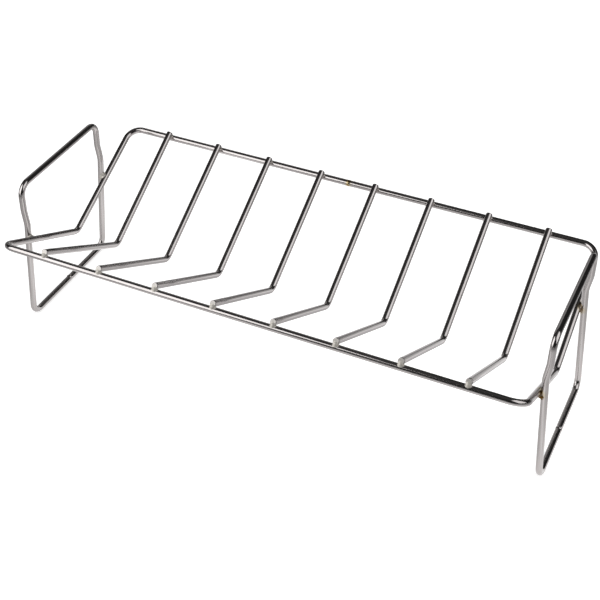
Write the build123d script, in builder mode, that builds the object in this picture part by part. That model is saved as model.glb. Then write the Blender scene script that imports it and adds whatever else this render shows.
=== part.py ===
"""A V-shaped cooking rack of welded steel wire that lifts a roast, or a row of ribs, off its tin.

One closed perimeter wire carries eight V-bent cross wires on its two long rails. Its two
ends dip in a V too, and each end is welded to a closed wire loop that is foot and handle in
one: a level bar below, two uprights that splay outward, and a level bar above.

The frame of the model, in millimetres: X runs along the rails, +Y is the rear, +Z is up.
The origin is on the standing surface, mid-length, under the lowest line of the V.
"""
import os
from math import cos, radians, sin, tan

from build123d import *

# Wire
WIRE_DIAMETER = 4.8
END_ROUNDING = 0.4

# Cross wires
CROSS_WIRE_COUNT = 8
CROSS_WIRE_PITCH = 45.0
CROSS_WIRE_SLOPE = 30.2
CROSS_WIRE_BEND_RADIUS = 7.5
CROSS_WIRE_OVERHANG = 1.9
TROUGH_HEIGHT = 47.6

# Perimeter wire
RAIL_SPACING = 182.4
RAIL_END_SPAN = 36.7
FRAME_DIP = 1.8
FRAME_CORNER_RADIUS = 11.0
FRAME_BEND_RADIUS = 8.0
RAIL_WELD_SINK = 0.3

# Legs
LEG_WIDTH = 101.6
LEG_SETBACK = 4.4
LEG_CORNER_RADIUS = 9.0
LEG_SPLAY = 5.5
LEG_WELD_SINK = 0.4
HANDLE_HEIGHT = 75.2
HANDLE_OUTSET = 0.5
JOG_DROP = 21.0
JOG_LENGTH = 12.0
JOG_BEND_RADIUS = 24.0

# Welds
RAIL_BEAD_RADIUS = 2.9
RAIL_BEAD_SHIFT = 0.7
LEG_BEAD_RADIUS = 3.6
LEG_BEAD_RISE = 1.1
BUTT_WELD_LENGTH = 3.2
BUTT_WELD_SWELL = 0.35
BUTT_WELD_DRESSING = 0.15

# Sizes that follow from those above
wire_radius = WIRE_DIAMETER / 2
trough_z = TROUGH_HEIGHT
slope_cos = cos(radians(CROSS_WIRE_SLOPE))
slope_sin = sin(radians(CROSS_WIRE_SLOPE))
slope_tan = tan(radians(CROSS_WIRE_SLOPE))

rail_y = RAIL_SPACING / 2
rail_contact = WIRE_DIAMETER - RAIL_WELD_SINK
rail_z = trough_z + rail_y * slope_tan - rail_contact / slope_cos
cross_wire_reach = rail_y * slope_cos + (rail_z - trough_z) * slope_sin + CROSS_WIRE_OVERHANG
cross_wire_span = (CROSS_WIRE_COUNT - 1) * CROSS_WIRE_PITCH
side_x = cross_wire_span / 2 + RAIL_END_SPAN
dip_z = trough_z + FRAME_DIP
frame_rise = (rail_z - dip_z) / rail_y

foot_z = wire_radius
handle_z = trough_z + HANDLE_HEIGHT
leg_mid_y = -LEG_SETBACK
leg_weld_x = side_x + WIRE_DIAMETER - LEG_WELD_SINK
foot_x = leg_weld_x + LEG_SPLAY
handle_x = leg_weld_x + HANDLE_OUTSET
jog_z = handle_z - JOG_DROP - JOG_LENGTH
upright_ys = (leg_mid_y - LEG_WIDTH / 2, leg_mid_y + LEG_WIDTH / 2)


def swept_wire(points, bend_radii):
    """Round wire along straight runs that join in tangent bends, one radius to each corner."""
    with BuildPart() as wire:
        with BuildLine() as route:
            FilletPolyline(*points, radius=bend_radii)
        with BuildSketch(Plane(origin=route.line @ 0, z_dir=route.line % 0)):
            Circle(wire_radius)
        sweep(path=route.line)
    return wire.part


def butt_weld(place):
    """Low swollen ring where the two ends of one wire meet, turned about the plane's normal."""
    half_length = BUTT_WELD_LENGTH / 2
    with BuildPart() as ring:
        with BuildSketch(Plane(origin=place.origin, x_dir=place.z_dir, z_dir=place.x_dir)):
            with BuildLine():
                crown = ThreePointArc(
                    (-half_length, wire_radius),
                    (0, wire_radius + BUTT_WELD_SWELL),
                    (half_length, wire_radius),
                )
                Polyline(crown @ 1, (half_length, 0), (-half_length, 0), crown @ 0)
            make_face()
        revolve(axis=Axis(place.origin, place.z_dir))
    return ring.part


def bead(place, radius, neighbours):
    """Round weld bead about a crossing, less the wires that it joins."""
    with BuildPart() as weld:
        with Locations(place):
            Sphere(radius)
        for neighbour in neighbours:
            add(neighbour, mode=Mode.SUBTRACT)
    return weld.part


# Perimeter wire: front rail, rear rail and two dipped ends, closed by a butt weld at the rear
with BuildPart() as frame_wire:
    right_half = swept_wire(
        [
            (0, -rail_y, rail_z),
            (side_x, -rail_y, rail_z),
            (side_x, 0, dip_z),
            (side_x, rail_y, rail_z),
            (0, rail_y, rail_z),
        ],
        [FRAME_CORNER_RADIUS, FRAME_BEND_RADIUS, FRAME_CORNER_RADIUS],
    )
    add(right_half)
    mirror(about=Plane.YZ)
    add(butt_weld(Plane(origin=(0, rail_y, rail_z), x_dir=(0, 1, 0), z_dir=(1, 0, 0))))

# One cross wire at mid-length, its ends rounded over and grooved by the two rails
with BuildPart() as cross_wire:
    arm_y = cross_wire_reach * slope_cos
    arm_z = trough_z + cross_wire_reach * slope_sin
    add(
        swept_wire(
            [(0, -arm_y, arm_z), (0, 0, trough_z), (0, arm_y, arm_z)],
            [CROSS_WIRE_BEND_RADIUS],
        )
    )
    end_faces = cross_wire.faces().filter_by(GeomType.PLANE)
    fillet(end_faces.edges(), END_ROUNDING)
    add(frame_wire.part, mode=Mode.SUBTRACT)

cross_wire_places = GridLocations(CROSS_WIRE_PITCH, 1, CROSS_WIRE_COUNT, 1).locations


def leg_half(side, upright_y):
    """Half of an end loop: foot bar, one upright and handle bar, from middle to middle."""
    weld_z = dip_z + abs(upright_y) * frame_rise
    lean = LEG_SPLAY / (weld_z - foot_z)
    jog_x = leg_weld_x - lean * (jog_z - weld_z)
    return swept_wire(
        [
            (side * foot_x, leg_mid_y, foot_z),
            (side * foot_x, upright_y, foot_z),
            (side * jog_x, upright_y, jog_z),
            (side * handle_x, upright_y, jog_z + JOG_LENGTH),
            (side * handle_x, upright_y, handle_z),
            (side * handle_x, leg_mid_y, handle_z),
        ],
        [LEG_CORNER_RADIUS, JOG_BEND_RADIUS, JOG_BEND_RADIUS, LEG_CORNER_RADIUS],
    )


def leg(side):
    """Closed end loop, its foot weld dressed clear of the floor, grooved by the perimeter wire."""
    weld_centre = (side * foot_x, leg_mid_y, foot_z + BUTT_WELD_SWELL + BUTT_WELD_DRESSING)
    with BuildPart() as loop:
        for upright_y in upright_ys:
            add(leg_half(side, upright_y))
        add(butt_weld(Plane(origin=weld_centre, x_dir=(1, 0, 0), z_dir=(0, 1, 0))))
        add(frame_wire.part, mode=Mode.SUBTRACT)
    return loop.part


with BuildPart() as left_leg:
    add(leg(-1))

with BuildPart() as right_leg:
    add(leg(1))

# Welds of the cross wires, one under each end on each rail
with BuildPart() as front_rail_welds:
    contact_y = rail_y - slope_sin * rail_contact / 2
    contact_z = rail_z + slope_cos * rail_contact / 2
    bead_y = contact_y + slope_cos * RAIL_BEAD_SHIFT
    bead_z = contact_z + slope_sin * RAIL_BEAD_SHIFT
    rail_bead = bead((0, -bead_y, bead_z), RAIL_BEAD_RADIUS, [frame_wire.part, cross_wire.part])
    with Locations(cross_wire_places):
        add(rail_bead)

with BuildPart() as rear_rail_welds:
    add(mirror(front_rail_welds.part, about=Plane.XZ, mode=Mode.PRIVATE))

# Welds of the end loops, one to each upright, with their poles inside the two wires they join
with BuildPart() as leg_welds:
    for side, loop in ((-1, left_leg.part), (1, right_leg.part)):
        for upright_y in upright_ys:
            weld_z = dip_z + abs(upright_y) * frame_rise
            centre = (side * (side_x + leg_weld_x) / 2, upright_y, weld_z + LEG_BEAD_RISE)
            place = Plane(origin=centre, z_dir=(1, 0, 0))
            add(bead(place, LEG_BEAD_RADIUS, [frame_wire.part, loop]))

os.makedirs("parts", exist_ok=True)

frame_wire.part.label = "frame_wire"
export_step(frame_wire.part, "parts/frame_wire.step")

for number, place in enumerate(cross_wire_places, start=1):
    with BuildPart() as placed_cross_wire:
        with Locations(place):
            add(cross_wire.part)
    placed_cross_wire.part.label = f"cross_wire_{number}"
    export_step(placed_cross_wire.part, f"parts/cross_wire_{number}.step")

left_leg.part.label = "left_leg"
export_step(left_leg.part, "parts/left_leg.step")

right_leg.part.label = "right_leg"
export_step(right_leg.part, "parts/right_leg.step")

front_rail_welds.part.label = "front_rail_welds"
export_step(front_rail_welds.part, "parts/front_rail_welds.step")

rear_rail_welds.part.label = "rear_rail_welds"
export_step(rear_rail_welds.part, "parts/rear_rail_welds.step")

leg_welds.part.label = "leg_welds"
export_step(leg_welds.part, "parts/leg_welds.step")
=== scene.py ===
"""Looks of a V-shaped roasting rack of welded, bright stainless steel wire.

Every wire of the rack is drawn again here as a smooth round bar on the line of its solid,
with sheared ends, burred butt welds and run-out weld beads, and is dressed as polished
stainless steel. Lengths are in metres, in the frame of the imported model.
"""

import logging
from abc import ABC, abstractmethod
from dataclasses import dataclass, field
from enum import Enum
from math import atan2, ceil, cos, pi, radians, sin, tan
from typing import Sequence

import bpy
from mathutils import Matrix, Quaternion, Vector, noise


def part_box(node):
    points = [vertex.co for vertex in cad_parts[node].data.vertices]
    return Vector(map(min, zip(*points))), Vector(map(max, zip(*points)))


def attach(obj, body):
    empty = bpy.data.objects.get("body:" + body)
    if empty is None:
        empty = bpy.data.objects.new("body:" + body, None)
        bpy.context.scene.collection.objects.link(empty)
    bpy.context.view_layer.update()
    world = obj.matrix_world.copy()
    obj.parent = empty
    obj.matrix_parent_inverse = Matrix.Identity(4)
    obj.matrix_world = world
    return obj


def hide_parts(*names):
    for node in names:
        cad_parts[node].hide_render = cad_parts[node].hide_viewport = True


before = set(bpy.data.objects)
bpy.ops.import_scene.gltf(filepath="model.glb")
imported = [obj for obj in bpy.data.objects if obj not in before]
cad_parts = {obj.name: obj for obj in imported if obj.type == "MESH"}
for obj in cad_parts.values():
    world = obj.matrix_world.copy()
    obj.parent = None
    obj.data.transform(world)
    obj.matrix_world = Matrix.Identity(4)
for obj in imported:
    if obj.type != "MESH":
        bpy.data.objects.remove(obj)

LOG = logging.getLogger("roasting_rack")

MM = 0.001
ROOT_BODY = "root"
UV_NAME = "along_and_around"
# not plain "heat", a name that the renderer keeps for smoke and fire
HEAT_NAME = "weld_heat"

Settings = dict[str | int, object]
Links = dict[str | int, bpy.types.NodeSocket]
Stops = Sequence[tuple[float, Sequence[float]]]
Faces = list[tuple[int, ...]]


class Slot(Enum):
    """Material slots of the rack's record."""

    WIRE = "steel_wire"
    WELD = "steel_weld"


class Side(Enum):
    """The two ends of the rack, as the sign of X there."""

    LEFT = -1
    RIGHT = 1


class Flank(Enum):
    """The front and the rear of the rack, as the sign of Y there."""

    FRONT = -1
    REAR = 1


class BarEnd(Enum):
    """The two cut ends of a bar, as the way out of each along the bar's line."""

    START = -1
    FAR = 1


def linear(hex_colour: str) -> tuple[float, float, float, float]:
    """Turn an sRGB hex colour into the linear values that a shader takes.

    Args:
        hex_colour: six hex digits after a hash sign.

    Returns:
        Linear red, green and blue, and an alpha of one.
    """
    parts = [int(hex_colour[i : i + 2], 16) / 255 for i in (1, 3, 5)]
    curve = [p / 12.92 if p <= 0.04045 else ((p + 0.055) / 1.055) ** 2.4 for p in parts]
    return (curve[0], curve[1], curve[2], 1.0)


def add_node(
    tree: bpy.types.NodeTree,
    kind: str,
    settings: Settings | None = None,
    links: Links | None = None,
    stops: Stops = (),
) -> bpy.types.Node:
    """Add one node to a tree, set it up and link its inputs.

    Args:
        tree: the node tree that takes the node.
        kind: the node's type name.
        settings: values of inputs, by name or number, or attributes of the node.
        links: an output socket for each linked input, by the input's name or number.
        stops: a ramp's rising places, each with its linear colour.

    Returns:
        The new node.
    """
    node = tree.nodes.new(kind)
    for name, value in (settings or {}).items():
        if isinstance(name, int) or name in node.inputs:
            node.inputs[name].default_value = value
        else:
            setattr(node, name, value)
    for _ in stops[2:]:
        node.color_ramp.elements.new(1.0)
    for number, (place, colour) in enumerate(stops):
        node.color_ramp.elements[number].position = place
        node.color_ramp.elements[number].color = colour
    for name, output in (links or {}).items():
        tree.links.new(output, node.inputs[name])
    return node


def new_material(name: str) -> tuple[bpy.types.Material, bpy.types.NodeTree]:
    """Make an empty node material.

    Args:
        name: the material's name.

    Returns:
        The material and its cleared node tree.
    """
    material = bpy.data.materials.new(name)
    material.use_nodes = True
    material.node_tree.nodes.clear()
    return material, material.node_tree


def finish_metal(
    tree: bpy.types.NodeTree,
    settings: Settings,
    links: Links,
    reliefs: Sequence[tuple[bpy.types.NodeSocket, float]],
) -> None:
    """Close a metal's material with its reliefs, its shader and the output.

    Args:
        tree: the material's node tree.
        settings: constants of the shader.
        links: linked inputs of the shader, besides its normal.
        reliefs: a height pattern and its depth each, the coarsest first.
    """
    normal: Links = {}
    for height, depth in reliefs:
        relief: Settings = {"Strength": 1.0, "Distance": depth}
        bump = add_node(tree, "ShaderNodeBump", relief, {"Height": height, **normal})
        normal = {"Normal": bump.outputs["Normal"]}
    metal: Settings = {"Metallic": 1.0, **settings}
    shader = add_node(tree, "ShaderNodeBsdfPrincipled", metal, {**links, **normal})
    add_node(tree, "ShaderNodeOutputMaterial", links={"Surface": shader.outputs["BSDF"]})


def new_object(name: str, mesh: bpy.types.Mesh) -> bpy.types.Object:
    """Put a mesh into the scene.

    Args:
        name: the object's name.
        mesh: its mesh.

    Returns:
        The new object.
    """
    made = bpy.data.objects.new(name, mesh)
    bpy.context.scene.collection.objects.link(made)
    return made


def heated_mesh(
    name: str,
    places: Sequence[Vector],
    faces: Faces,
    heats: Sequence[float],
    finish: bpy.types.Material,
) -> bpy.types.Mesh:
    """Make a smooth mesh that carries its own heat values.

    Args:
        name: the mesh's name.
        places: its points.
        faces: its faces.
        heats: how far welding coloured the steel at each point, from 0 to 1.
        finish: its first material.

    Returns:
        The new mesh.
    """
    mesh = bpy.data.meshes.new(name)
    mesh.from_pydata([tuple(place) for place in places], [], faces)
    mesh.attributes.new(HEAT_NAME, "FLOAT", "POINT").data.foreach_set("value", heats)
    mesh.materials.append(finish)
    mesh.shade_smooth()
    mesh.update()
    return mesh


@dataclass(frozen=True)
class DrawnStainlessSteel:
    """Austenitic stainless steel wire, cold-drawn through a die and electropolished.

    Drawing leaves hair lines along the wire, and the polish leaves a slow orange-peel swell
    under them: a bright metal whose reflections run in long, slightly wavering stripes.
    """

    name: str = "stainless_steel_wire_drawn_and_electropolished"
    line_shade: str = "#A8A2A0"
    line_share: float = 0.30
    # tones of the lines' noise at which they start to darken and are darkest
    line_tones: tuple[float, float] = (0.35, 0.70)
    roughness_low: float = 0.09
    roughness_high: float = 0.18
    # real draw lines are about 0.05 mm apart: drawn nine times coarser so that they show
    draw_line_spacing: float = 0.45 * MM
    draw_line_length: float = 38 * MM
    draw_line_depth: float = 0.003 * MM
    swell_length: float = 16 * MM
    swell_depth: float = 0.03 * MM
    # from clean steel through straw and bronze to the brown beside a weld
    heat_stops: tuple[tuple[float, str], ...] = (
        (0.00, "#D0CBCA"),
        (0.30, "#C9BA98"),
        (0.55, "#A98A50"),
        (0.78, "#6E4C2D"),
        (1.00, "#473830"),
    )

    def build(self) -> bpy.types.Material:
        """Make the material, with its heat tint read from each mesh's own heat values.

        Returns:
            The finished material.
        """
        material, tree = new_material(self.name)
        run = add_node(tree, "ShaderNodeUVMap", {"uv_map": UV_NAME})
        lines_place = add_node(
            tree,
            "ShaderNodeMapping",
            {"Scale": (1 / self.draw_line_length, 1 / self.draw_line_spacing, 1.0)},
            {"Vector": run.outputs["UV"]},
        )
        lines = add_node(
            tree,
            "ShaderNodeTexNoise",
            {"Scale": 1.0, "Detail": 3.0, "Roughness": 0.6},
            {"Vector": lines_place.outputs["Vector"]},
        )
        solid_place = add_node(tree, "ShaderNodeTexCoord")
        swell = add_node(
            tree,
            "ShaderNodeTexNoise",
            {"Scale": 1 / self.swell_length, "Detail": 1.0, "Roughness": 0.4},
            {"Vector": solid_place.outputs["Object"]},
        )
        heat = add_node(tree, "ShaderNodeAttribute", {"attribute_name": HEAT_NAME})
        stops = [(place, linear(colour)) for place, colour in self.heat_stops]
        tint = add_node(tree, "ShaderNodeValToRGB", links={"Fac": heat.outputs["Fac"]}, stops=stops)
        low, high = self.line_tones
        grain = add_node(
            tree,
            "ShaderNodeMapRange",
            {"From Min": low, "From Max": high, "To Min": 0.0, "To Max": self.line_share},
            {"Value": lines.outputs["Fac"]},
        )
        colour = add_node(
            tree,
            "ShaderNodeMix",
            {"data_type": "RGBA", "blend_type": "MULTIPLY", 7: linear(self.line_shade)},
            {0: grain.outputs["Result"], 6: tint.outputs["Color"]},
        )
        gloss = add_node(
            tree,
            "ShaderNodeMapRange",
            {"To Min": self.roughness_low, "To Max": self.roughness_high},
            {"Value": lines.outputs["Fac"]},
        )
        finish_metal(
            tree,
            {},
            {"Base Color": colour.outputs[2], "Roughness": gloss.outputs["Result"]},
            (
                (swell.outputs["Fac"], self.swell_depth),
                (lines.outputs["Fac"], self.draw_line_depth),
            ),
        )
        return material


@dataclass(frozen=True)
class ShearedSteel:
    """Face of a stainless steel wire where a shear cropped it.

    The blade tears the metal in fine parallel steps, which scatter the light: the cut
    shows as a matt, nearly white disc at the end of a bright wire.
    """

    name: str = "stainless_steel_face_sheared"
    colour: str = "#EFEBE6"
    roughness: float = 0.50
    # real tears are about 0.1 mm apart: drawn coarser so that they show
    tear_spacing: float = 0.35 * MM
    tear_length: float = 3 * MM
    tear_depth: float = 0.03 * MM

    def build(self) -> bpy.types.Material:
        """Make the material.

        Returns:
            The finished material.
        """
        material, tree = new_material(self.name)
        place = add_node(tree, "ShaderNodeTexCoord")
        tears_place = add_node(
            tree,
            "ShaderNodeMapping",
            {"Scale": (1 / self.tear_length, 1 / self.tear_length, 1 / self.tear_spacing)},
            {"Vector": place.outputs["Object"]},
        )
        tears = add_node(
            tree,
            "ShaderNodeTexNoise",
            {"Scale": 1.0, "Detail": 2.0, "Roughness": 0.6},
            {"Vector": tears_place.outputs["Vector"]},
        )
        settings: Settings = {"Roughness": self.roughness, "Base Color": linear(self.colour)}
        finish_metal(tree, settings, {}, [(tears.outputs["Fac"], self.tear_depth)])
        return material


@dataclass(frozen=True)
class WeldMetal:
    """Stainless steel weld metal, run out of a resistance or arc weld and pickled.

    Freezing in ripples makes it rougher than the wire and breaks its reflections into
    small bright spots. Where the pickling was short, a brown-gold oxide stays on it.
    """

    name: str = "stainless_steel_weld_metal_pickled"
    clean: str = "#F2EEE6"
    oxide: str = "#6E4E14"
    roughness: float = 0.55
    # real ripples are about 0.4 mm apart: drawn coarser so that they show
    ripple_length: float = 1.3 * MM
    ripple_depth: float = 0.016 * MM
    stain_length: float = 2.2 * MM
    # tones of the stain's noise, and how strong the oxide is at each
    stain_tones: tuple[float, float] = (0.30, 0.62)
    stain_shares: tuple[float, float] = (0.6, 1.15)

    def build(self) -> bpy.types.Material:
        """Make the material, with its oxide read from each mesh's own heat values.

        Returns:
            The finished material.
        """
        material, tree = new_material(self.name)
        place = add_node(tree, "ShaderNodeTexCoord")
        stain, ripple = (
            add_node(
                tree,
                "ShaderNodeTexNoise",
                {"Scale": 1 / length, "Detail": 2.0, "Roughness": 0.5},
                {"Vector": place.outputs["Object"]},
            )
            for length in (self.stain_length, self.ripple_length)
        )
        heat = add_node(tree, "ShaderNodeAttribute", {"attribute_name": HEAT_NAME})
        (low, high), (least, most) = self.stain_tones, self.stain_shares
        blotch = add_node(
            tree,
            "ShaderNodeMapRange",
            {"From Min": low, "From Max": high, "To Min": least, "To Max": most},
            {"Value": stain.outputs["Fac"]},
        )
        share = add_node(
            tree,
            "ShaderNodeMath",
            {"operation": "MULTIPLY", "use_clamp": True},
            {0: heat.outputs["Fac"], 1: blotch.outputs["Result"]},
        )
        colour = add_node(
            tree,
            "ShaderNodeMix",
            {"data_type": "RGBA", 6: linear(self.clean), 7: linear(self.oxide)},
            {0: share.outputs[0]},
        )
        links: Links = {"Base Color": colour.outputs[2]}
        reliefs = [(ripple.outputs["Fac"], self.ripple_depth)]
        finish_metal(tree, {"Roughness": self.roughness}, links, reliefs)
        return material


@dataclass(frozen=True)
class Finishes:
    """The built materials of the rack."""

    wire: bpy.types.Material
    cut_face: bpy.types.Material
    weld: bpy.types.Material


@dataclass(frozen=True)
class RackSizes:
    """The rack's driving sizes, in metres, and what follows from them."""

    wire_diameter: float = 4.8 * MM
    cross_wire_slope: float = radians(30.2)
    cross_wire_bend: float = 7.5 * MM
    cross_wire_overhang: float = 1.9 * MM
    trough_height: float = 47.6 * MM
    rail_spacing: float = 182.4 * MM
    rail_end_span: float = 36.7 * MM
    frame_dip: float = 1.8 * MM
    frame_corner: float = 11 * MM
    frame_bend: float = 8 * MM
    rail_weld_sink: float = 0.3 * MM
    leg_width: float = 101.6 * MM
    leg_setback: float = 4.4 * MM
    leg_corner: float = 9 * MM
    leg_splay: float = 5.5 * MM
    leg_weld_sink: float = 0.4 * MM
    handle_height: float = 75.2 * MM
    handle_outset: float = 0.5 * MM
    jog_drop: float = 21 * MM
    jog_length: float = 12 * MM
    jog_bend: float = 24 * MM

    @property
    def radius(self) -> float:
        """The wire's radius."""
        return self.wire_diameter / 2

    @property
    def rail_y(self) -> float:
        """Distance of a rail's centre from the middle plane."""
        return self.rail_spacing / 2

    @property
    def rail_contact(self) -> float:
        """Distance between the centres of a rail and a cross wire."""
        return self.wire_diameter - self.rail_weld_sink

    @property
    def rail_z(self) -> float:
        """Height of a rail's centre."""
        slope = self.cross_wire_slope
        return self.trough_height + self.rail_y * tan(slope) - self.rail_contact / cos(slope)

    @property
    def cross_wire_reach(self) -> float:
        """Length of a cross wire's arm, from the line of the V to its cut end."""
        slope, rise = self.cross_wire_slope, self.rail_z - self.trough_height
        return self.rail_y * cos(slope) + rise * sin(slope) + self.cross_wire_overhang

    @property
    def cross_wire_xs(self) -> list[float]:
        """Where the cross wires stand along the rails, from left to right."""
        names = [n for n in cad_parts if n.startswith("cross_wire_")]
        return sorted((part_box(n)[0][0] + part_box(n)[1][0]) / 2 for n in names)

    @property
    def side_x(self) -> float:
        """Distance of the perimeter wire's ends from mid-length."""
        return self.cross_wire_xs[-1] + self.rail_end_span

    @property
    def dip_z(self) -> float:
        """Height of the perimeter wire's ends at the bottom of the V."""
        return self.trough_height + self.frame_dip

    @property
    def frame_rise(self) -> float:
        """Rise of the perimeter wire's ends for each unit of width."""
        return (self.rail_z - self.dip_z) / self.rail_y

    @property
    def leg_weld_x(self) -> float:
        """Distance of an upright's centre from mid-length, at its weld."""
        return self.side_x + self.wire_diameter - self.leg_weld_sink

    @property
    def foot_x(self) -> float:
        """Distance of a foot bar from mid-length."""
        return self.leg_weld_x + self.leg_splay

    def upright_y(self, flank: Flank) -> float:
        """Where the front or the rear uprights of the end loops stand."""
        return -self.leg_setback + flank.value * (self.leg_width / 2)

    def leg_weld_z(self, upright_y: float) -> float:
        """Height at which an upright crosses the perimeter wire."""
        return self.dip_z + abs(upright_y) * self.frame_rise

    def lean(self, upright_y: float) -> float:
        """How far an upright leans inwards below its jog, for each unit of height."""
        return self.leg_splay / (self.leg_weld_z(upright_y) - self.radius)

    def leg_weld_place(self, side: Side, upright_y: float) -> Vector:
        """The point halfway between an upright and the perimeter wire where they cross."""
        middle = (self.side_x + self.leg_weld_x) / 2
        return Vector((side.value * middle, upright_y, self.leg_weld_z(upright_y)))


@dataclass(frozen=True)
class HeatedSpot:
    """Oxide colour that a weld leaves on the steel around it, with a blotchy edge."""

    place: Vector
    reach: float
    peak: float
    blotch_length: float = 1.8 * MM
    blotch_mean: float = 0.75
    blotch_swing: float = 0.5

    def heat(self, point: Vector) -> float:
        """Find the heat colour at a point.

        Args:
            point: a place on the steel.

        Returns:
            The colour, from 0 for clean steel to 1 for brown.
        """
        share = max(0.0, 1 - (point - self.place).length / self.reach)
        blotch = self.blotch_mean + self.blotch_swing * noise.noise(point / self.blotch_length)
        return min(1.0, self.peak * share * share * (3 - 2 * share) * blotch)


# how brown the uprights' welds left the steel: the right end kept more colour
LEG_WELD_PEAKS = {Side.LEFT: 0.12, Side.RIGHT: 0.80}
LEG_WELD_REACH = 5.5 * MM


def leg_weld_spots(sizes: RackSizes) -> tuple[HeatedSpot, ...]:
    """List the heated spots of the end loops' welds, one for each upright."""
    return tuple(
        HeatedSpot(sizes.leg_weld_place(side, sizes.upright_y(flank)), LEG_WELD_REACH, peak)
        for side, peak in LEG_WELD_PEAKS.items()
        for flank in Flank
    )


@dataclass(frozen=True)
class ButtWeld:
    """Joint of a wire's two ends: a low swelling with a ragged burr round its middle."""

    place: Vector
    heat: float
    heat_reach: float
    rise: float = 0.0
    swell: float = 0.12 * MM
    half_length: float = 0.9 * MM
    burr: float = 0.06 * MM

    def share(self, point: Vector) -> float:
        """Give how much of the swelling is at a point, from 0 to 1."""
        away = (point - self.place).length / self.half_length
        return max(0.0, 1 - away * away)


@dataclass(frozen=True)
class Station:
    """One place along a wire's line: where it is, which way it runs and how far along."""

    place: Vector
    heading: Vector
    distance: float


@dataclass(frozen=True)
class WireRoute:
    """The line of a wire: straight runs that join in tangent bends."""

    corners: tuple[Vector, ...]
    radii: tuple[float, ...]
    closed: bool
    run_step: float = 2 * MM
    weld_step: float = 0.15 * MM
    bend_step: float = radians(4)

    def bend(self, index: int, radius: float) -> list[tuple[Vector, Vector]]:
        """Walk round one bend.

        Args:
            index: the number of the corner that the bend rounds.
            radius: the bend's radius.

        Returns:
            Places and headings from the end of the straight run before it to the start
            of the one after it.
        """
        corner = self.corners[index]
        heading = (corner - self.corners[index - 1]).normalized()
        leaving = (self.corners[(index + 1) % len(self.corners)] - corner).normalized()
        turn = heading.angle(leaving)
        entry = corner - heading * radius * tan(turn / 2)
        axis = heading.cross(leaving).normalized()
        centre = entry + axis.cross(heading) * radius
        steps = max(2, ceil(turn / self.bend_step))
        turns = [Quaternion(axis, turn * i / steps) for i in range(steps + 1)]
        return [(centre + turned @ (entry - centre), turned @ heading) for turned in turns]

    def run(self, start: Vector, end: Vector, weld: ButtWeld | None) -> list[Vector]:
        """Divide a straight run, finely about a butt weld that lies on it.

        Args:
            start: where the run starts.
            end: where the run ends.
            weld: a butt weld, which need not be on this run.

        Returns:
            Places between the run's two ends.
        """
        length = (end - start).length
        steps = max(1, ceil(length / self.run_step))
        marks = [length * i / steps for i in range(1, steps)]
        if weld:
            heading = (end - start).normalized()
            middle = (weld.place - start).dot(heading)
            beside = (start + heading * middle - weld.place).length
            if beside < weld.half_length and 0 < middle < length:
                half = weld.half_length
                count = ceil(half / self.weld_step)
                close = [middle + half * i / count for i in range(-count, count + 1)]
                marks = [m for m in marks if abs(m - middle) > half] + close
        return [start.lerp(end, mark / length) for mark in sorted(marks)]

    def stations(self, weld: ButtWeld | None) -> list[Station]:
        """Walk the line.

        Args:
            weld: a butt weld that gets close stations.

        Returns:
            Stations from the line's start to its end, each once; a closed line's last
            station stops one step short of its first.
        """
        count = len(self.corners)
        turning = [*range(1, count), 0] if self.closed else [*range(1, count - 1)]
        radii = self.radii[1:] + self.radii[:1] if self.closed else self.radii
        bends = [self.bend(index, radius) for index, radius in zip(turning, radii)]
        if not self.closed:
            last = (self.corners[-1] - self.corners[-2]).normalized()
            bends.append([(self.corners[-1], last)])
        first = (self.corners[1] - self.corners[0]).normalized()
        knots = [bends[-1][-1] if self.closed else (self.corners[0], first)]
        for points in bends:
            start, (end, heading) = knots[-1][0], points[0]
            knots.extend((place, heading) for place in self.run(start, end, weld))
            knots.extend(points)
        if self.closed:
            knots.pop()
        distance = 0.0
        walked = [Station(*knots[0], 0.0)]
        for (here, _), (there, heading) in zip(knots, knots[1:]):
            distance += (there - here).length
            walked.append(Station(there, heading, distance))
        return walked


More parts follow.
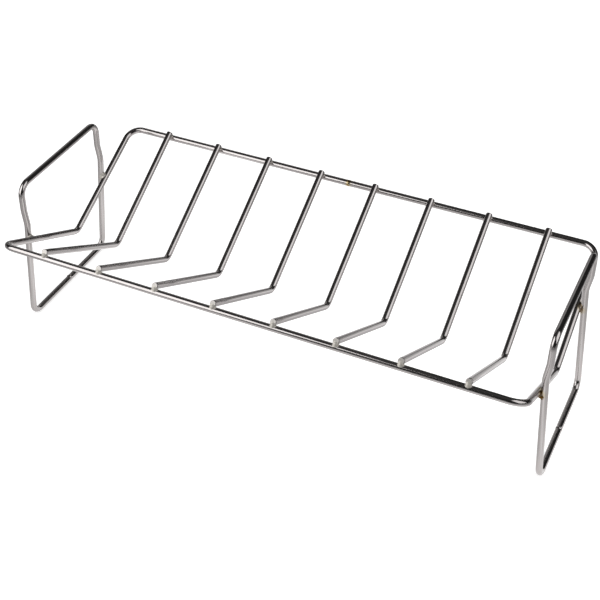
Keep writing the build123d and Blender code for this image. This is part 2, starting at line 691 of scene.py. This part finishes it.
@dataclass
class WireMesh:
    """Turns a wire's line into the mesh of a round bar."""

    radius: float
    facets: int = 40
    burr_length: float = 0.7 * MM
    rim: float = 0.42 * MM
    rim_steps: int = 5
    # rings of a cut face, as shares of its radius, and how far its middle lies in
    face_rings: tuple[float, ...] = (0.85, 0.6, 0.3)
    dish: float = 0.05 * MM
    places: list[Vector] = field(default_factory=list)
    faces: Faces = field(default_factory=list)
    along: list[tuple[tuple[float, float], ...]] = field(default_factory=list)
    cut_faces: set[int] = field(default_factory=set)

    def ring(
        self, centre: Vector, side: Vector, heading: Vector, radius: float, burr: float = 0.0
    ) -> int:
        """Add one ring of points.

        Args:
            centre: the ring's centre.
            side: a unit direction across the bar, where the ring starts.
            heading: the bar's direction.
            radius: the ring's radius.
            burr: how ragged the ring is.

        Returns:
            The number of the ring's first point.
        """
        first = len(self.places)
        other = heading.cross(side)
        for i in range(self.facets):
            angle = 2 * pi * i / self.facets
            way = side * cos(angle) + other * sin(angle)
            rag = noise.noise((centre + way * radius) / self.burr_length) if burr else 0.0
            self.places.append(centre + way * (radius + burr * rag))
        return first

    def band(self, low: int, high: int, from_u: float, to_u: float) -> None:
        """Join two rings with a band of quads.

        Args:
            low: the first point of the ring behind.
            high: the first point of the ring ahead.
            from_u: distance along the bar at the ring behind.
            to_u: distance along the bar at the ring ahead.
        """
        girth = 2 * pi * self.radius
        for i in range(self.facets):
            j = (i + 1) % self.facets
            self.faces.append((low + i, low + j, high + j, high + i))
            v0, v1 = girth * i / self.facets, girth * (i + 1) / self.facets
            self.along.append(((from_u, v0), (from_u, v1), (to_u, v1), (to_u, v0)))

    def sheared_end(self, ring: int, station: Station, side: Vector, end: BarEnd) -> None:
        """Close a cut end: a rolled rim, then a face that the shear left uneven.

        Args:
            ring: the first point of the bar's last full ring.
            station: where the bar ends.
            side: the ring's starting direction.
            end: which end of the bar it is.
        """
        way = station.heading * end.value
        last = ring
        for i in range(1, self.rim_steps + 1):
            angle = pi / 2 * i / self.rim_steps
            centre = station.place - way * self.rim * (1 - sin(angle))
            radius = self.radius - self.rim * (1 - cos(angle))
            last = self.step_out(last, centre, side, station, radius, end)
        first_cut = len(self.faces)
        flat = self.radius - self.rim
        for share in self.face_rings:
            centre = station.place - way * self.dish * (1 - share)
            last = self.step_out(last, centre, side, station, flat * share, end)
        middle = len(self.places)
        self.places.append(station.place - way * self.dish)
        for i in range(self.facets):
            j = (i + 1) % self.facets
            rim = (last + i, last + j) if end is BarEnd.FAR else (last + j, last + i)
            self.faces.append((*rim, middle))
            self.along.append(((station.distance, 0.0),) * 3)
        self.cut_faces.update(range(first_cut, len(self.faces)))

    def step_out(
        self, last: int, centre: Vector, side: Vector, station: Station, radius: float, end: BarEnd
    ) -> int:
        """Add the next ring of an end and join it, the right way out.

        Args:
            last: the first point of the ring before it.
            centre: the new ring's centre.
            side: the ring's starting direction.
            station: where the bar ends.
            radius: the new ring's radius.
            end: which end of the bar it is.

        Returns:
            The number of the new ring's first point.
        """
        new = self.ring(centre, side, station.heading, radius)
        low, high = (last, new) if end is BarEnd.FAR else (new, last)
        self.band(low, high, station.distance, station.distance)
        return new

    def directions(self, stations: Sequence[Station], closed: bool) -> list[Vector]:
        """Carry a direction across the bar along its line without a twist.

        Args:
            stations: the bar's line.
            closed: whether the last station joins the first.

        Returns:
            A unit direction across the bar at each station; on a closed bar the turn
            left over at the end is spread evenly.
        """
        heading = stations[0].heading
        side = heading.orthogonal().normalized()
        sides = [side]
        for station in stations[1:]:
            side = (heading.rotation_difference(station.heading) @ side).normalized()
            heading = station.heading
            sides.append(side)
        if not closed:
            return sides
        back = heading.rotation_difference(stations[0].heading) @ side
        sine = sides[0].cross(back).dot(stations[0].heading)
        twist = atan2(sine, sides[0].dot(back))
        whole = stations[-1].distance
        return [
            Quaternion(station.heading, -twist * station.distance / whole) @ side
            for station, side in zip(stations, sides)
        ]

    def sweep(self, stations: Sequence[Station], closed: bool, weld: ButtWeld | None) -> None:
        """Sweep the bar along its stations.

        Args:
            stations: the bar's line.
            closed: whether the last station joins the first.
            weld: the joint of the bar's ends.
        """
        sides = self.directions(stations, closed)
        rings = []
        for index, (station, side) in enumerate(zip(stations, sides)):
            place, radius, burr = station.place, self.radius, 0.0
            share = weld.share(place) if weld else 0.0
            if share:
                place = place + Vector((0, 0, weld.rise * share))
                radius += weld.swell * share
                burr = weld.burr * share
            if not closed and index == 0:
                place = place + station.heading * self.rim
            if not closed and index == len(stations) - 1:
                place = place - station.heading * self.rim
            rings.append(self.ring(place, side, station.heading, radius, burr))
        drawn = list(zip(stations, rings))
        for (here, low), (there, high) in zip(drawn, drawn[1:]):
            self.band(low, high, here.distance, there.distance)
        if closed:
            step = (stations[0].place - stations[-1].place).length
            end = stations[-1].distance
            self.band(rings[-1], rings[0], end, end + step)
        else:
            self.sheared_end(rings[0], stations[0], sides[0], BarEnd.START)
            self.sheared_end(rings[-1], stations[-1], sides[-1], BarEnd.FAR)

    def to_mesh(
        self, name: str, finishes: Finishes, spots: Sequence[HeatedSpot]
    ) -> bpy.types.Mesh:
        """Make the Blender mesh.

        Args:
            name: the mesh's name.
            finishes: the rack's materials.
            spots: where welding coloured the steel.

        Returns:
            The new mesh.
        """
        heats = [max((spot.heat(p) for spot in spots), default=0.0) for p in self.places]
        mesh = heated_mesh(name, self.places, self.faces, heats, finishes.wire)
        layer = mesh.uv_layers.new(name=UV_NAME)
        flat = [value for pairs in self.along for pair in pairs for value in pair]
        layer.uv.foreach_set("vector", flat)
        if self.cut_faces:
            mesh.materials.append(finishes.cut_face)
            for index in self.cut_faces:
                mesh.polygons[index].material_index = 1
        return mesh


@dataclass
class RackPiece(ABC):
    """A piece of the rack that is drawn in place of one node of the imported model."""

    sizes: RackSizes
    finishes: Finishes
    name: str
    node: str

    @abstractmethod
    def build(self) -> bpy.types.Object:
        """Draw the piece, dress it and hand it to the frame."""


@dataclass
class WirePiece(RackPiece):
    """A bent wire of the rack."""

    @abstractmethod
    def route(self) -> WireRoute:
        """Lay the wire's line."""

    def butt_weld(self) -> ButtWeld | None:
        """Say where the wire's two ends are joined, if they are."""
        return None

    def heated_spots(self) -> tuple[HeatedSpot, ...]:
        """List where welding coloured the wire.

        Returns:
            The end loops' welds and the wire's own joint, or nothing on a cross wire,
            whose quick spot welds leave the steel clean.
        """
        weld = self.butt_weld()
        if weld is None:
            return ()
        return (*leg_weld_spots(self.sizes), HeatedSpot(weld.place, weld.heat_reach, weld.heat))

    def build(self) -> bpy.types.Object:
        """Draw the wire, dress it and hand it to the frame.

        Returns:
            The new object.
        """
        route, weld = self.route(), self.butt_weld()
        bar = WireMesh(self.sizes.radius)
        bar.sweep(route.stations(weld), route.closed, weld)
        made = new_object(self.name, bar.to_mesh(self.name, self.finishes, self.heated_spots()))
        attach(made, ROOT_BODY)
        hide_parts(self.node)
        return made


@dataclass
class PerimeterWire(WirePiece):
    """The closed wire with the front and rear rails and the two dipped ends."""

    joint_heat: float = 3.0
    joint_heat_reach: float = 3.6 * MM

    def route(self) -> WireRoute:
        """Lay the line round the rack, from the front right corner.

        Returns:
            The closed line.
        """
        s = self.sizes
        end = ((-s.rail_y, s.rail_z), (0.0, s.dip_z), (s.rail_y, s.rail_z))
        right = [Vector((s.side_x, y, z)) for y, z in end]
        left = [Vector((-s.side_x, y, z)) for y, z in reversed(end)]
        radii = (s.frame_corner, s.frame_bend, s.frame_corner) * 2
        return WireRoute((*right, *left), radii, closed=True)

    def butt_weld(self) -> ButtWeld:
        """The joint at the middle of the rear rail."""
        middle = Vector((0, self.sizes.rail_y, self.sizes.rail_z))
        return ButtWeld(middle, self.joint_heat, self.joint_heat_reach)


@dataclass
class CrossWire(WirePiece):
    """A V-bent wire that lies across both rails."""

    x: float

    def route(self) -> WireRoute:
        """Lay the line from the front cut end to the rear one.

        Returns:
            The open line.
        """
        s = self.sizes
        arm_y = s.cross_wire_reach * cos(s.cross_wire_slope)
        arm_z = s.trough_height + s.cross_wire_reach * sin(s.cross_wire_slope)
        line = ((-arm_y, arm_z), (0.0, s.trough_height), (arm_y, arm_z))
        corners = tuple(Vector((self.x, y, z)) for y, z in line)
        return WireRoute(corners, (s.cross_wire_bend,), closed=False)


@dataclass
class EndLoop(WirePiece):
    """A closed loop of wire that is a foot below and a handle above."""

    side: Side
    joint_heat: float = 0.5
    joint_heat_reach: float = 2.4 * MM
    # a dressed foot weld is clear of the floor
    joint_rise: float = 0.22 * MM

    def upright(self, y: float) -> list[Vector]:
        """List the corners of one upright, from the floor to the handle.

        Args:
            y: where the upright stands.

        Returns:
            The foot corner, the jog's two corners and the handle corner.
        """
        s = self.sizes
        handle_x = s.leg_weld_x + s.handle_outset
        handle_z = s.trough_height + s.handle_height
        jog_top = handle_z - s.jog_drop
        jog_z = jog_top - s.jog_length
        jog_x = s.leg_weld_x - s.lean(y) * (jog_z - s.leg_weld_z(y))
        line = ((s.foot_x, s.radius), (jog_x, jog_z), (handle_x, jog_top), (handle_x, handle_z))
        return [Vector((self.side.value * x, y, z)) for x, z in line]

    def route(self) -> WireRoute:
        """Lay the line up the front upright, over the handle and down the rear one.

        Returns:
            The closed line.
        """
        s = self.sizes
        front, rear = (self.upright(s.upright_y(flank)) for flank in Flank)
        radii = (s.leg_corner, s.jog_bend, s.jog_bend, s.leg_corner) * 2
        return WireRoute((*front, *reversed(rear)), radii, closed=True)

    def butt_weld(self) -> ButtWeld:
        """Join the wire's ends at the middle of the foot bar.

        Returns:
            The joint.
        """
        s = self.sizes
        middle = Vector((self.side.value * s.foot_x, -s.leg_setback, s.radius))
        return ButtWeld(middle, self.joint_heat, self.joint_heat_reach, self.joint_rise)


@dataclass(frozen=True)
class Rod:
    """A straight stretch of round wire, for measuring how far a point is from its skin.

    Its end is how far ahead of its place it is cut off, and a metre is past every weld.
    """

    place: Vector
    heading: Vector
    radius: float
    end: float = 1.0

    def depth(self, point: Vector) -> float:
        """Measure how far a point is from the rod's skin.

        Args:
            point: any place.

        Returns:
            The distance, negative inside.
        """
        away = point - self.place
        along = away.dot(self.heading)
        return max((away - self.heading * along).length - self.radius, along - self.end)


def smooth_least(one: float, two: float, width: float) -> float:
    """Take the lesser of two distances, blended where they differ by less than a width."""
    blend = max(width - abs(one - two), 0.0) / width
    return min(one, two) - blend * blend * width / 4


@dataclass(frozen=True)
class WeldBead:
    """Weld metal in the corner between two crossing wires: a lump that runs out on both."""

    centre: Vector
    rods: tuple[Rod, Rod]
    lump_radius: float
    run_out: float
    heat: float
    sink: float = 0.05 * MM
    unevenness: float = 0.12 * MM
    unevenness_length: float = 1.6 * MM
    rings: int = 26
    sides: int = 36
    # steps of the walk out to the skin, and how often the last of them is halved
    walk_steps: int = 24
    halvings: int = 7

    def depth(self, point: Vector) -> float:
        """Measure how far a point is from the weld's skin.

        Args:
            point: any place.

        Returns:
            The distance, negative inside.
        """
        wires = smooth_least(self.rods[0].depth(point), self.rods[1].depth(point), self.run_out)
        lump = (point - self.centre).length - self.lump_radius
        uneven = self.unevenness * noise.noise(point / self.unevenness_length)
        return smooth_least(wires, lump + uneven, self.run_out) + self.sink

    def skin(self, direction: Vector) -> Vector:
        """Find the weld's skin in one direction from its centre.

        Args:
            direction: a unit direction.

        Returns:
            The place on the skin, no further out than the weld runs.
        """
        reach, steps = self.lump_radius + self.run_out, self.walk_steps
        near, far = 0.0, reach
        for i in range(1, steps + 1):
            if self.depth(self.centre + direction * (reach * i / steps)) > 0:
                near, far = reach * (i - 1) / steps, reach * i / steps
                break
        else:
            return self.centre + direction * reach
        for _ in range(self.halvings):
            middle = (near + far) / 2
            if self.depth(self.centre + direction * middle) > 0:
                far = middle
            else:
                near = middle
        return self.centre + direction * near

    def build(self, places: list[Vector], faces: Faces) -> None:
        """Add the bead's closed skin to a mesh's lists.

        Args:
            places: points, added to.
            faces: faces, added to.
        """
        first = len(places)
        for ring in range(1, self.rings):
            tilt = pi * ring / self.rings
            for side in range(self.sides):
                turn = 2 * pi * side / self.sides
                way = Vector((sin(tilt) * cos(turn), sin(tilt) * sin(turn), cos(tilt)))
                places.append(self.skin(way))
        top, bottom = len(places), len(places) + 1
        places.extend(self.skin(Vector((0, 0, z))) for z in (1, -1))
        last = first + (self.rings - 2) * self.sides
        for side in range(self.sides):
            after = (side + 1) % self.sides
            faces.append((top, first + side, first + after))
            faces.append((bottom, last + after, last + side))
            for low in range(first, last, self.sides):
                high = low + self.sides
                faces.append((low + side, high + side, high + after, low + after))


@dataclass
class WeldGroup(RackPiece):
    """Several weld beads that are one node of the rack."""

    @abstractmethod
    def beads(self) -> list[WeldBead]:
        """Lay the beads."""

    def build(self) -> bpy.types.Object:
        """Draw the beads, dress them and hand them to the frame.

        Returns:
            The new object.
        """
        places: list[Vector] = []
        faces: Faces = []
        heats: list[float] = []
        for bead in self.beads():
            bead.build(places, faces)
            heats.extend([bead.heat] * (len(places) - len(heats)))
        mesh = heated_mesh(self.name, places, faces, heats, self.finishes.weld)
        made = new_object(self.name, mesh)
        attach(made, ROOT_BODY)
        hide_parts(self.node)
        return made


@dataclass
class RailWelds(WeldGroup):
    """Welds of the cross wires' ends on one rail, each a little towards the cut end."""

    flank: Flank
    lump_radius: float = 1.8 * MM
    run_out: float = 1.0 * MM
    shift: float = 0.9 * MM
    heat: float = 0.04

    def beads(self) -> list[WeldBead]:
        """Lay one bead under each cross wire.

        Returns:
            The beads, from left to right.
        """
        s, way = self.sizes, self.flank.value
        slope = s.cross_wire_slope
        arm = Vector((0, way * cos(slope), sin(slope)))
        lift = Vector((0, -way * sin(slope), cos(slope)))
        beads = []
        for x in s.cross_wire_xs:
            on_rail = Vector((x, way * s.rail_y, s.rail_z))
            rail = Rod(on_rail, Vector((1, 0, 0)), s.radius)
            wire = Rod(on_rail + lift * s.rail_contact, arm, s.radius, s.cross_wire_overhang)
            centre = on_rail + lift * (s.rail_contact / 2) + arm * self.shift
            beads.append(WeldBead(centre, (rail, wire), self.lump_radius, self.run_out, self.heat))
        return beads


@dataclass(frozen=True)
class LegBead:
    """How one upright's weld came out: its heat colour, and where its metal ran to."""

    side: Side
    flank: Flank
    heat: float
    to_rear: float
    up: float


@dataclass
class LegWelds(WeldGroup):
    """Welds of the end loops' uprights on the perimeter wire.

    The metal ran up at the left end, and down and to the front at the hotter right end.
    """

    lump_radius: float = 2.1 * MM
    run_out: float = 1.3 * MM
    laid: tuple[LegBead, ...] = (
        LegBead(Side.LEFT, Flank.FRONT, heat=0.10, to_rear=0.0, up=1.0 * MM),
        LegBead(Side.LEFT, Flank.REAR, heat=0.06, to_rear=0.0, up=1.4 * MM),
        LegBead(Side.RIGHT, Flank.FRONT, heat=1.0, to_rear=-0.8 * MM, up=-1.9 * MM),
        LegBead(Side.RIGHT, Flank.REAR, heat=0.85, to_rear=-0.4 * MM, up=-0.4 * MM),
    )

    def beads(self) -> list[WeldBead]:
        """Lay one bead at each upright.

        Returns:
            The four beads.
        """
        s = self.sizes
        beads = []
        for laid in self.laid:
            y, out = s.upright_y(laid.flank), laid.side.value
            place = s.leg_weld_place(laid.side, y)
            slant = Vector((0, 1, laid.flank.value * s.frame_rise)).normalized()
            end = Rod(Vector((out * s.side_x, y, place.z)), slant, s.radius)
            rising = Vector((-out * s.lean(y), 0, 1)).normalized()
            upright = Rod(Vector((out * s.leg_weld_x, y, place.z)), rising, s.radius)
            centre = place + Vector((0, laid.to_rear, laid.up))
            rods = (end, upright)
            beads.append(WeldBead(centre, rods, self.lump_radius, self.run_out, laid.heat))
        return beads


def from_bearing(bearing: float, height: float) -> Vector:
    """Give the direction at a bearing from the rear towards the right, and at a height."""
    return Vector((sin(bearing) * cos(height), cos(bearing) * cos(height), sin(height)))


@dataclass(frozen=True)
class Softbox:
    """A rectangular lamp that faces the rack.

    Its bearing is 0 at the rear and 90 at the right, in degrees, and its radiance is 1
    where its face is white.
    """

    name: str
    bearing: float
    height: float
    distance: float
    size: tuple[float, float]
    radiance: float
    mirrored: bool = True
    aim_height: float = 0.08

    def build(self) -> None:
        """Hang the lamp."""
        lamp = bpy.data.lights.new(self.name, "AREA")
        lamp.shape = "RECTANGLE"
        lamp.size, lamp.size_y = self.size
        lamp.energy = self.radiance * pi * self.size[0] * self.size[1]
        made = bpy.data.objects.new(self.name, lamp)
        way = from_bearing(radians(self.bearing), radians(self.height))
        made.location = way * self.distance + Vector((0, 0, self.aim_height))
        made.rotation_mode = "QUATERNION"
        made.rotation_quaternion = way.to_track_quat("Z", "Y")
        made.visible_camera = False
        made.visible_glossy = self.mirrored
        bpy.context.scene.collection.objects.link(made)


@dataclass(frozen=True)
class ViewPoint:
    """Where the photograph was taken from, and with what lens."""

    place: tuple[float, float, float] = (0.29797, -0.66040, 0.62520)
    azimuth: float = radians(25.968)
    elevation: float = radians(37.275)
    roll: float = radians(-0.329)
    lens: float = 74.829
    sensor_width: float = 36
    shift: float = 0.05
    clip_start: float = 0.05
    clip_end: float = 20

    def build(self) -> None:
        """Set the scene's camera."""
        data = bpy.data.cameras.new("camera")
        data.lens = self.lens
        data.sensor_width = self.sensor_width
        data.shift_x = self.shift
        data.shift_y = -self.shift
        data.clip_start = self.clip_start
        data.clip_end = self.clip_end
        made = bpy.data.objects.new("camera", data)
        a, e = self.azimuth, self.elevation
        back = Vector((sin(a) * cos(e), -cos(a) * cos(e), sin(e)))
        level = Vector((cos(a), sin(a), 0))
        right = level * cos(self.roll) + back.cross(level) * sin(self.roll)
        turn = Matrix((right, back.cross(right), back)).transposed()
        made.matrix_world = Matrix.Translation(Vector(self.place)) @ turn.to_4x4()
        bpy.context.scene.collection.objects.link(made)
        bpy.context.scene.camera = made


def grey_stops(tones: Sequence[tuple[float, float]]) -> Stops:
    """Turn places with a brightness each into the stops of a grey ramp."""
    return [(place, (tone, tone, tone, 1.0)) for place, tone in tones]


def background_rays(tree: bpy.types.NodeTree) -> bpy.types.NodeSocket:
    """Add nodes that tell camera, glossy and transmission rays from light rays.

    Args:
        tree: the node tree that takes them.

    Returns:
        An output that is 1 for such rays and 0 for the others.
    """
    path = add_node(tree, "ShaderNodeLightPath")
    seen = path.outputs["Is Camera Ray"]
    for kind in ("Is Glossy Ray", "Is Transmission Ray"):
        links: Links = {0: seen, 1: path.outputs[kind]}
        seen = add_node(tree, "ShaderNodeMath", {"operation": "MAXIMUM"}, links).outputs[0]
    return seen


@dataclass
class Studio:
    """A white table in a dark room.

    Softboxes light it from the front left, from the right and from above, and a
    reflector fills in from the rear left.
    """

    floor_half: float = 1.2
    floor_colour: str = "#F0F0EF"
    # what lifts the table to white where it is only seen, not where it lights the rack
    floor_lift: float = 0.60
    # painted light and shade that metal mirrors off the table: a painted shadow of the rack under
    # it, a painted pool of light round it, and painted dimming further out
    pool_centre: tuple[float, float] = (0.03, -0.03)
    pool_half: tuple[float, float] = (0.11, 0.05)
    pool_tones: tuple[tuple[float, float], ...] = (
        (0.000, 0.56),
        (0.040, 0.68),
        (0.060, 0.92),
        (0.085, 1.00),
        (0.140, 0.65),
        (0.270, 0.42),
        (0.450, 0.24),
        (1.000, 0.10),
    )
    drapes_radius: float = 1.75
    drapes_rows: int = 24
    drapes_columns: int = 48
    # painted glow of the drapes, from the floor up to the crown
    drapes_tones: tuple[tuple[float, float], ...] = (
        (0.00, 0.030),
        (0.25, 0.018),
        (0.80, 0.020),
        (0.95, 0.050),
    )
    background_light: float = 0.25
    softboxes: tuple[Softbox, ...] = (
        Softbox("front_left_softbox", -135, 27, 1.35, (1.17, 1.36), 1.70),
        Softbox("right_softbox", 97, 41, 1.35, (1.30, 1.42), 1.10),
        Softbox("rear_left_reflector", -38, 22, 1.50, (1.30, 0.95), 0.26),
        Softbox("ceiling_softbox", 0, 89, 1.45, (1.6, 1.6), 1.5, mirrored=False),
    )

    def floor(self) -> bpy.types.Object:
        """Lay the white table.

        Returns:
            The table.
        """
        h = self.floor_half
        mesh = bpy.data.meshes.new("white_table")
        mesh.from_pydata([(-h, -h, 0), (h, -h, 0), (h, h, 0), (-h, h, 0)], [], [(0, 1, 2, 3)])
        material, tree = new_material("white_laminate_with_painted_light_pool")
        lift = add_node(
            tree,
            "ShaderNodeMapRange",
            {"To Min": 0.0, "To Max": self.floor_lift},
            {"Value": background_rays(tree)},
        )
        glow = add_node(tree, "ShaderNodeEmission", links={"Strength": lift.outputs["Result"]})
        matt = add_node(tree, "ShaderNodeBsdfDiffuse", {"Color": linear(self.floor_colour)})
        seen = add_node(tree, "ShaderNodeAddShader", links={0: matt.outputs[0], 1: glow.outputs[0]})
        # glossy rays see a painted pool of light and a painted shadow of the rack here, not the lit
        # table
        mirrored = add_node(tree, "ShaderNodeEmission", links={"Color": self.pool_of_light(tree)})
        path = add_node(tree, "ShaderNodeLightPath")
        either = add_node(
            tree,
            "ShaderNodeMixShader",
            links={0: path.outputs["Is Glossy Ray"], 1: seen.outputs[0], 2: mirrored.outputs[0]},
        )
        add_node(tree, "ShaderNodeOutputMaterial", links={"Surface": either.outputs[0]})
        mesh.materials.append(material)
        return new_object("white_table", mesh)

    def pool_of_light(self, tree: bpy.types.NodeTree) -> bpy.types.NodeSocket:
        """Add the painted light and shade that bright metal mirrors off the table: a painted shadow
        under the rack, a painted white pool of light near it, painted dimming far out.

        Args:
            tree: the table's node tree.

        Returns:
            An output with the painted brightness.
        """
        place = add_node(tree, "ShaderNodeTexCoord")
        steps: tuple[Settings, ...] = (
            {"operation": "SUBTRACT", 1: (*self.pool_centre, 0.0)},
            {"operation": "ABSOLUTE"},
            {"operation": "SUBTRACT", 1: (*self.pool_half, 0.0)},
            {"operation": "MAXIMUM", 1: (0.0, 0.0, 0.0)},
        )
        vector = place.outputs["Object"]
        for step in steps:
            vector = add_node(tree, "ShaderNodeVectorMath", step, {0: vector}).outputs["Vector"]
        away = add_node(tree, "ShaderNodeVectorMath", {"operation": "LENGTH"}, {0: vector})
        links: Links = {"Fac": away.outputs["Value"]}
        stops = grey_stops(self.pool_tones)
        return add_node(tree, "ShaderNodeValToRGB", links=links, stops=stops).outputs["Color"]

    def drapes(self) -> bpy.types.Object:
        """Hang the room's dark drapes, a half ball that the camera sees through, with a faint
        painted glow that stands in for the light on them.

        Returns:
            The drapes.
        """
        rows, columns = self.drapes_rows, self.drapes_columns
        places = []
        for row in range(rows):
            height = pi / 2 * row / rows
            for column in range(columns):
                way = from_bearing(2 * pi * column / columns, height)
                places.append(tuple(way * self.drapes_radius))
        crown = len(places)
        places.append((0.0, 0.0, self.drapes_radius))
        faces: Faces = []
        for column in range(columns):
            after = (column + 1) % columns
            for low in range(0, crown - columns, columns):
                high = low + columns
                faces.append((low + column, low + after, high + after, high + column))
            faces.append((crown - columns + column, crown - columns + after, crown))
        mesh = bpy.data.meshes.new("dark_drapes")
        mesh.from_pydata(places, [], faces)
        material, tree = new_material("drapes_painted_glow")
        place = add_node(tree, "ShaderNodeTexCoord")
        level = add_node(tree, "ShaderNodeSeparateXYZ", links={0: place.outputs["Generated"]})
        links: Links = {"Fac": level.outputs["Z"]}
        stops = grey_stops(self.drapes_tones)
        tone = add_node(tree, "ShaderNodeValToRGB", links=links, stops=stops)
        # the drapes glow with painted light, dimmest just above the floor and brightest at the
        # crown; no lamp lights them
        glow = add_node(tree, "ShaderNodeEmission", links={"Color": tone.outputs["Color"]})
        add_node(tree, "ShaderNodeOutputMaterial", links={"Surface": glow.outputs[0]})
        mesh.materials.append(material)
        made = new_object("dark_drapes", mesh)
        made.visible_camera = False
        made.visible_shadow = False
        return made

    def world(self) -> None:
        """Set the white background, dim for the light that falls on the rack."""
        world = bpy.data.worlds.new("white_background")
        bpy.context.scene.world = world
        world.use_nodes = True
        tree = world.node_tree
        tree.nodes.clear()
        strength = add_node(
            tree,
            "ShaderNodeMapRange",
            {"To Min": self.background_light, "To Max": 1.0},
            {"Value": background_rays(tree)},
        )
        white: Settings = {"Color": (1, 1, 1, 1)}
        links: Links = {"Strength": strength.outputs["Result"]}
        sky = add_node(tree, "ShaderNodeBackground", white, links)
        add_node(tree, "ShaderNodeOutputWorld", links={"Surface": sky.outputs[0]})

    def build(self) -> None:
        """Set up the table, the drapes, the lamps, the background and the camera."""
        self.floor()
        self.drapes()
        for softbox in self.softboxes:
            softbox.build()
        self.world()
        ViewPoint().build()
        bpy.context.scene.view_settings.view_transform = "Standard"


def rack_pieces(sizes: RackSizes, finishes: Finishes) -> list[RackPiece]:
    """List the rack's pieces.

    Args:
        sizes: the rack's sizes.
        finishes: the rack's materials.

    Returns:
        The pieces, each ready to build.
    """
    pieces: list[RackPiece] = [
        PerimeterWire(sizes, finishes, "perimeter_wire", "frame_wire"),
        EndLoop(sizes, finishes, "left_end_loop", "left_leg", Side.LEFT),
        EndLoop(sizes, finishes, "right_end_loop", "right_leg", Side.RIGHT),
        RailWelds(sizes, finishes, "front_rail_beads", "front_rail_welds", Flank.FRONT),
        RailWelds(sizes, finishes, "rear_rail_beads", "rear_rail_welds", Flank.REAR),
        LegWelds(sizes, finishes, "end_loop_beads", "leg_welds"),
    ]
    for number, x in enumerate(sizes.cross_wire_xs, start=1):
        pieces.append(CrossWire(sizes, finishes, f"v_wire_{number}", f"cross_wire_{number}", x))
    return pieces


def main() -> None:
    """Build the rack's looks and the studio around it, and log how many faces each piece has."""
    logging.basicConfig(level=logging.INFO, format="%(name)s: %(message)s")
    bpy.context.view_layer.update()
    finishes = Finishes(DrawnStainlessSteel().build(), ShearedSteel().build(), WeldMetal().build())
    for piece in rack_pieces(RackSizes(), finishes):
        made = piece.build()
        LOG.info("%s: %d faces on node %s", piece.name, len(made.data.polygons), piece.node)
    Studio().build()


if __name__ == "__main__":
    main()
